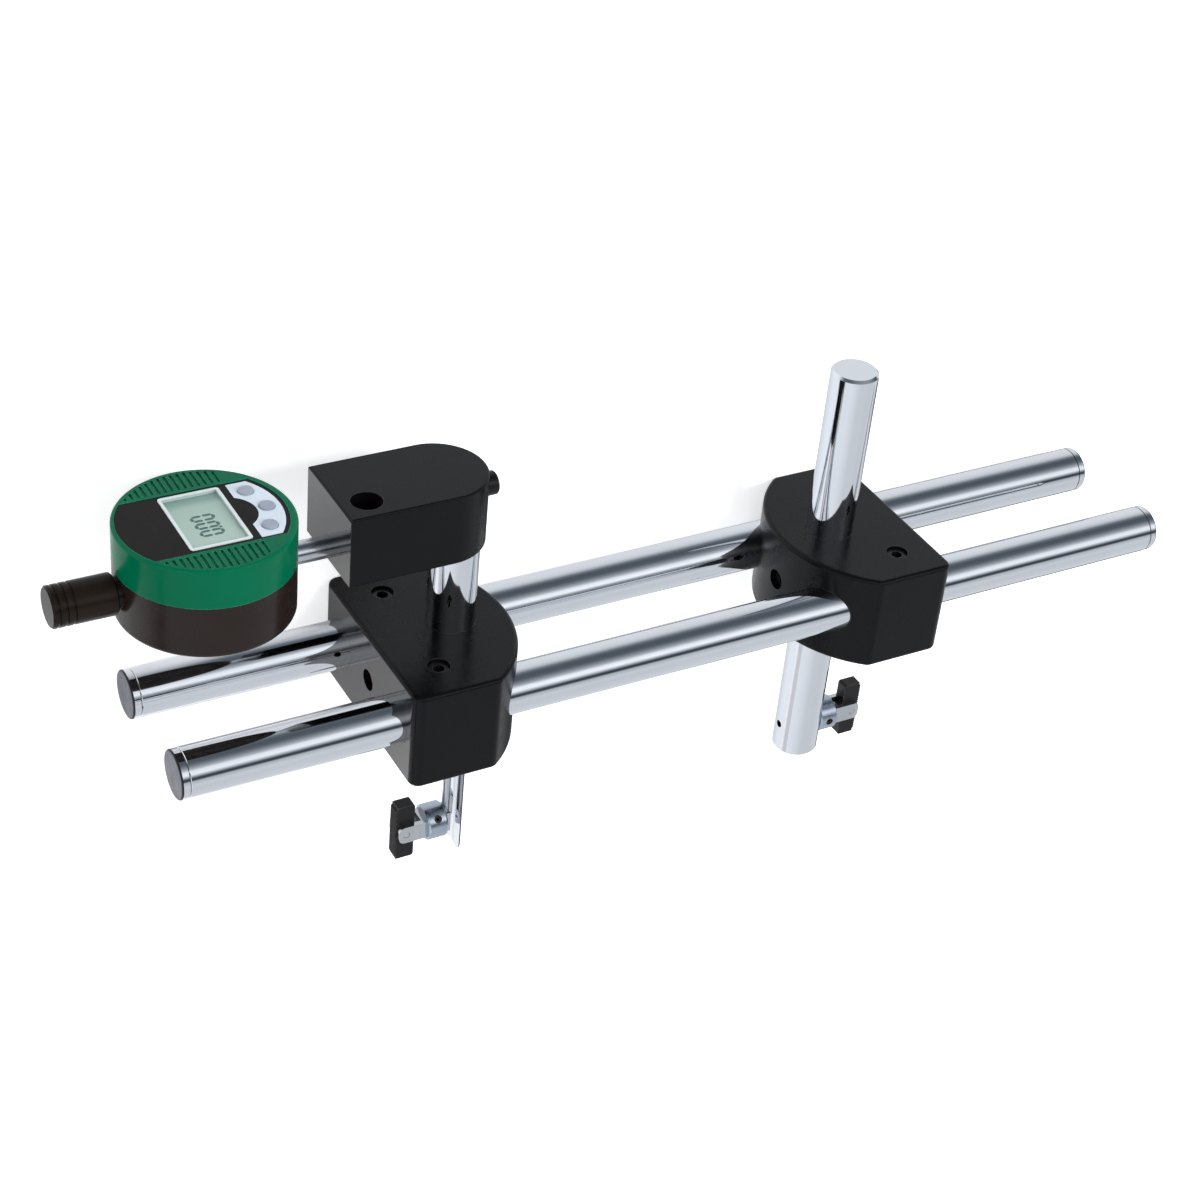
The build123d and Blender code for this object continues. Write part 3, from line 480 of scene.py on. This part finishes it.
def floor_finish():
    made, tree, shader = new_material("floor_white")
    shader.inputs["Roughness"].default_value = FLOOR_ROUGHNESS
    shader.inputs["Base Color"].default_value = FLOOR_COLOUR
    shader.inputs["Emission Color"].default_value = WHITE
    paths = node(tree, "ShaderNodeLightPath")
    to_camera, to_metal = paths.outputs["Is Camera Ray"], paths.outputs["Is Glossy Ray"]
    metal_glow = remap(tree, to_metal, (0, 1), (0, FLOOR_GLOW_TO_METAL))
    glow = combine(tree, "MULTIPLY_ADD", to_camera, FLOOR_GLOW_TO_CAMERA, metal_glow)
    link(tree, glow, shader.inputs["Emission Strength"])
    place = axes(tree, object_coords(tree))
    away = combine(tree, "MAXIMUM", remap(tree, place["Y"], FLOOR_END_Y, (0, 1)),
                   remap(tree, place["X"], FLOOR_END_X, (0, 1)))
    clear = node(tree, "ShaderNodeBsdfTransparent")
    seen = mix_shaders(tree, combine(tree, "MULTIPLY", away, to_metal),
                       shader.outputs["BSDF"], clear.outputs["BSDF"])
    link(tree, seen, tree.nodes["Material Output"].inputs["Surface"])
    return made


def floor():
    """A wide sheet that curves up at its far sides, so that no horizon shows."""
    grid = bmesh.new()
    bmesh.ops.create_grid(grid, x_segments=FLOOR_STEPS, y_segments=FLOOR_STEPS, size=FLOOR_REACH)
    for vert in grid.verts:
        away = max(abs(vert.co.x), abs(vert.co.y)) - FLOOR_LEVEL_TO
        vert.co.z = max(0.0, away) ** 2 * FLOOR_RISE
    made = new_object("floor", grid, floor_finish())


floor()


# World: white for the camera, a plain soft light for matt surfaces, and for metal a dome whose
# level changes with the angle about X, from +Y at 0 degrees over +Z at 90

DOME = ((-180, 214), (-130, 218), (-60, 228), (-34, 216), (-22, 180), (-12, 122), (-2, 92),
        (8, 86), (21, 96), (33, 136), (44, 180), (53, 238), (66, 250), (74, 190), (82, 92),
        (88, 54), (93, 90), (99, 186), (117, 212), (135, 206), (180, 214))
DOME_LIGHT_FROM = 180        # levels from here on are less blue
DOME_DARK_BLUE = 14          # blue above red
DOME_LIGHT_BLUE = 8
DOME_LEFT_X = (0.0, -0.6)    # the dome gets stronger towards -X
DOME_STRENGTH = (1.15, 1.5)
CORNER_X = (0.44, 0.52)      # and is dark low down at its -Y, +X corner, for the right block
CORNER_Y = (-0.1, -0.3)
CORNER_Z = (-0.2, -0.35)
CORNER_DARKNESS = 0.85
SOFT_COLOUR = (0.95, 0.97, 1.0, 1)
SOFT_STRENGTH = 0.7


def dome_colour(level):
    blue = DOME_LIGHT_BLUE if level >= DOME_LIGHT_FROM else DOME_DARK_BLUE
    return linear((level - blue / 2, level, level + blue / 2))


def background(tree, colour, strength):
    made = node(tree, "ShaderNodeBackground")
    made.inputs["Color"].default_value = colour
    made.inputs["Strength"].default_value = strength
    return made.outputs[0]


def world():
    made = bpy.data.worlds.new("studio")
    SCENE.world = made
    made.use_nodes = True
    tree = made.node_tree
    tree.nodes.clear()
    coords = node(tree, "ShaderNodeTexCoord")
    facing = axes(tree, coords.outputs["Generated"])
    angle = combine(tree, "ARCTAN2", facing["Z"], facing["Y"])
    stops = [((degrees + 180) / 360, dome_colour(level)) for degrees, level in DOME]
    dome = ramp(tree, remap(tree, angle, (-pi, pi), (0, 1)), stops)
    strength = remap(tree, facing["X"], DOME_LEFT_X, DOME_STRENGTH)
    corner = combine(tree, "MULTIPLY", remap(tree, facing["X"], CORNER_X, (0, 1)),
                     remap(tree, facing["Z"], CORNER_Z, (0, CORNER_DARKNESS)))
    corner = combine(tree, "MULTIPLY", corner, remap(tree, facing["Y"], CORNER_Y, (0, 1)))
    level = combine(tree, "MULTIPLY", remap(tree, corner, (0, 1), (1, 0)), strength)
    gloss = node(tree, "ShaderNodeBackground")
    link(tree, level, gloss.inputs["Strength"])
    link(tree, dome, gloss.inputs["Color"])
    paths = node(tree, "ShaderNodeLightPath")
    around = mix_shaders(tree, paths.outputs["Is Glossy Ray"],
                         background(tree, SOFT_COLOUR, SOFT_STRENGTH), gloss.outputs[0])
    seen = mix_shaders(tree, paths.outputs["Is Camera Ray"], around, background(tree, WHITE, 1))
    output = node(tree, "ShaderNodeOutputWorld")
    link(tree, seen, output.inputs["Surface"])


world()


# Lamps: metal doesn't mirror the bright key, only the weaker glint in its place

LAMP_AIM = Vector((0.0, 0.0, 0.04))
KEY_PLACE = Vector((0.5, 0.5, 0.96))
FILL_PLACE = Vector((-1.2, 0.1, 0.5))


def area_lamp(name, place, size, power, mirrored=False):
    data = bpy.data.lights.new(name, "AREA")
    data.shape = "RECTANGLE"
    data.size, data.size_y = size
    data.energy = power
    lamp = bpy.data.objects.new(name, data)
    SCENE.collection.objects.link(lamp)
    lamp.location = place
    lamp.rotation_euler = (LAMP_AIM - place).to_track_quat("-Z", "Y").to_euler()
    lamp.visible_glossy = mirrored


area_lamp("key", KEY_PLACE, (0.62, 0.12), 6.8)
area_lamp("glint", KEY_PLACE, (0.62, 0.085), 2.2, mirrored=True)
area_lamp("fill", FILL_PLACE, (0.8, 0.8), 4.0)


# Dark card: a strip off to the left that draws a thin line down the upper posts

CARD_Y = (-0.72, -0.42)
CARD_FOOT = (-0.9, 0.16)     # x and z of its lower edge
CARD_TOP = (-0.94, 0.3)


def dark_card():
    points = [(CARD_FOOT[0], y, CARD_FOOT[1]) for y in CARD_Y]
    points += [(CARD_TOP[0], y, CARD_TOP[1]) for y in reversed(CARD_Y)]
    card = bmesh.new()
    card.faces.new([card.verts.new(p) for p in points])
    material, tree, shader = new_material("card_black")
    shader.inputs["Base Color"].default_value = NEAR_BLACK
    made = new_object("dark_card", card, material)
    made.visible_camera = False
    made.visible_diffuse = False
    made.visible_shadow = False


dark_card()


# Camera at the photograph's viewing angle

CAMERA_PLACE = Vector((-406.57, 532.10, 670.87)) * MM
CAMERA_FORWARD = Vector((0.4301, -0.5752, -0.6958)).normalized()
CAMERA_RIGHT = Vector((0.8773, 0.0844, 0.4724)).normalized()
LENS = 74.414                # in mm, as the sensor's width is
SENSOR_WIDTH = 36.0
CLIP = (0.02, 50.0)


def camera():
    data = bpy.data.cameras.new("camera")
    data.lens = LENS
    data.sensor_width = SENSOR_WIDTH
    data.clip_start, data.clip_end = CLIP
    made = bpy.data.objects.new("camera", data)
    SCENE.collection.objects.link(made)
    up = CAMERA_RIGHT.cross(CAMERA_FORWARD).normalized()
    right = CAMERA_FORWARD.cross(up)
    turn = Matrix((right, up, -CAMERA_FORWARD)).transposed().to_4x4()
    made.matrix_world = Matrix.Translation(CAMERA_PLACE) @ turn
    SCENE.camera = made


camera()
SCENE.view_settings.view_transform = "Standard"
